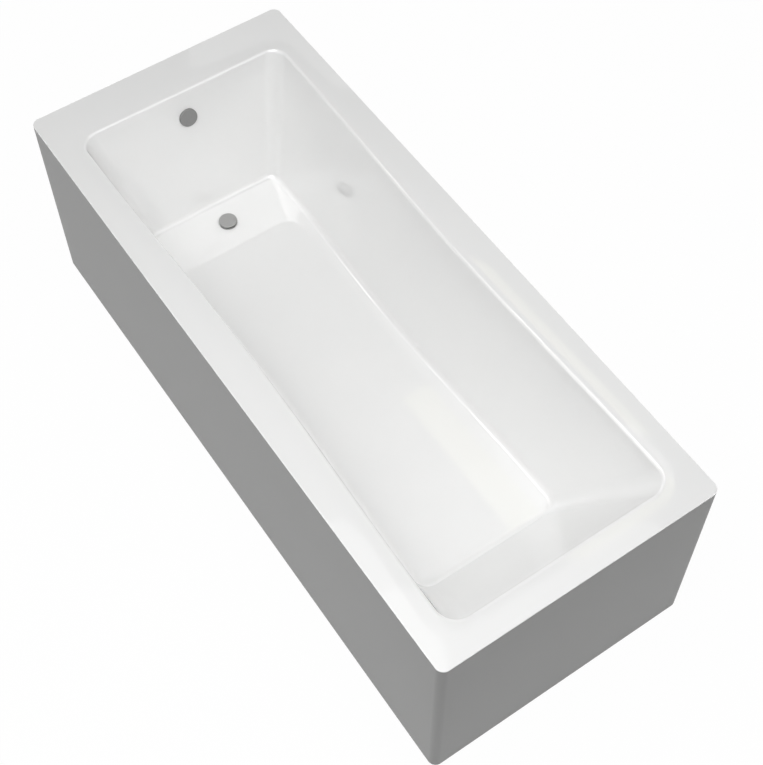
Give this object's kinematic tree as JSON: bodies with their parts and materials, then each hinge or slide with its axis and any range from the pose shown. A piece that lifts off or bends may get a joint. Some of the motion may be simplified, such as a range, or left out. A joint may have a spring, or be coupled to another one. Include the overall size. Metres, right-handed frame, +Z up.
{
  "type": "single-ended bathtub",
  "caption": "Rectangular single-ended bathtub: white tub with a sloping backrest and waisted sides, grey wrap-round skirt, push waste, overflow and levelling feet.",
  "frame": {"origin": "on the floor, under the middle of the bath", "axes": "+X along the length towards the backrest, +Z up; the waste is at the -X end"},
  "size_m": [1.7, 0.7, 0.545],
  "materials": {
    "white_acrylic": "glossy white acrylic sheet",
    "grey_acrylic": "satin grey acrylic sheet",
    "satin_metal": "satin plated metal",
    "plain_brass": "turned brass",
    "zinc_steel": "zinc-plated steel",
    "sealed_chipboard": "sealed chipboard",
    "white_plastic": "moulded white plastic",
    "black_plastic": "moulded black plastic",
    "black_rubber": "black rubber"
  },
  "bodies": {
    "tub_and_frame": {"tub_shell": "white_acrylic", "outer_skirt": "grey_acrylic", "base_board": "sealed_chipboard", "cross_leg_waste_end": "zinc_steel", "cross_leg_middle": "zinc_steel", "cross_leg_head_end": "zinc_steel", "lock_nut_waste_end_left": "zinc_steel", "lock_nut_waste_end_right": "zinc_steel", "lock_nut_middle_left": "zinc_steel", "lock_nut_middle_right": "zinc_steel", "lock_nut_head_end_left": "zinc_steel", "lock_nut_head_end_right": "zinc_steel", "rim_support_waste_end_left": "zinc_steel", "rim_support_waste_end_right": "zinc_steel", "rim_support_middle_left": "zinc_steel", "rim_support_middle_right": "zinc_steel", "rim_support_head_end_left": "zinc_steel", "rim_support_head_end_right": "zinc_steel", "support_screw_waste_end_left": "zinc_steel", "support_screw_waste_end_right": "zinc_steel", "support_screw_middle_left": "zinc_steel", "support_screw_middle_right": "zinc_steel", "support_screw_head_end_left": "zinc_steel", "support_screw_head_end_right": "zinc_steel", "board_screw_waste_end_left": "zinc_steel", "board_screw_waste_end_right": "zinc_steel", "board_screw_middle_left": "zinc_steel", "board_screw_middle_right": "zinc_steel", "board_screw_head_end_left": "zinc_steel", "board_screw_head_end_right": "zinc_steel", "overflow_screw": "zinc_steel", "upper_hose_clip": "zinc_steel", "lower_hose_clip": "zinc_steel", "overflow_elbow": "black_plastic", "waste_flange": "satin_metal", "overflow_cover": "satin_metal", "overflow_plate": "satin_metal", "push_cartridge": "plain_brass", "flange_seal": "black_rubber", "floor_washer": "black_rubber", "trap_washer": "black_rubber", "outlet_washer": "black_rubber", "overflow_washer": "black_rubber", "waste_body": "white_plastic", "bath_trap": "white_plastic", "trap_nut": "white_plastic", "outlet_nut": "white_plastic", "overflow_hose": "white_plastic"},
    "waste_plug": {"waste_cap": "satin_metal", "plug_spindle": "plain_brass", "cap_seal": "black_rubber"},
    "foot_waste_end_left": {"levelling_foot_waste_end_left": "black_plastic"},
    "foot_waste_end_right": {"levelling_foot_waste_end_right": "black_plastic"},
    "foot_middle_left": {"levelling_foot_middle_left": "black_plastic"},
    "foot_middle_right": {"levelling_foot_middle_right": "black_plastic"},
    "foot_head_end_left": {"levelling_foot_head_end_left": "black_plastic"},
    "foot_head_end_right": {"levelling_foot_head_end_right": "black_plastic"}
  },
  "joints": [
    {"name": "waste_plug_push", "type": "slide", "parent": "tub_and_frame", "child": "waste_plug", "axis": [-0.0104, 0, 0.9999], "range_m": [-0.005, 0], "stiffness_N_per_m": 600, "springref_m": 0.004},
    {"name": "foot_waste_end_left_screw", "type": "slide", "parent": "tub_and_frame", "child": "foot_waste_end_left", "axis": [0, 0, 1], "range_m": [-0.015, 0.01]},
    {"name": "foot_waste_end_right_screw", "type": "slide", "parent": "tub_and_frame", "child": "foot_waste_end_right", "axis": [0, 0, 1], "range_m": [-0.015, 0.01]},
    {"name": "foot_middle_left_screw", "type": "slide", "parent": "tub_and_frame", "child": "foot_middle_left", "axis": [0, 0, 1], "range_m": [-0.015, 0.01]},
    {"name": "foot_middle_right_screw", "type": "slide", "parent": "tub_and_frame", "child": "foot_middle_right", "axis": [0, 0, 1], "range_m": [-0.015, 0.01]},
    {"name": "foot_head_end_left_screw", "type": "slide", "parent": "tub_and_frame", "child": "foot_head_end_left", "axis": [0, 0, 1], "range_m": [-0.015, 0.01]},
    {"name": "foot_head_end_right_screw", "type": "slide", "parent": "tub_and_frame", "child": "foot_head_end_right", "axis": [0, 0, 1], "range_m": [-0.015, 0.01]}
  ]
}
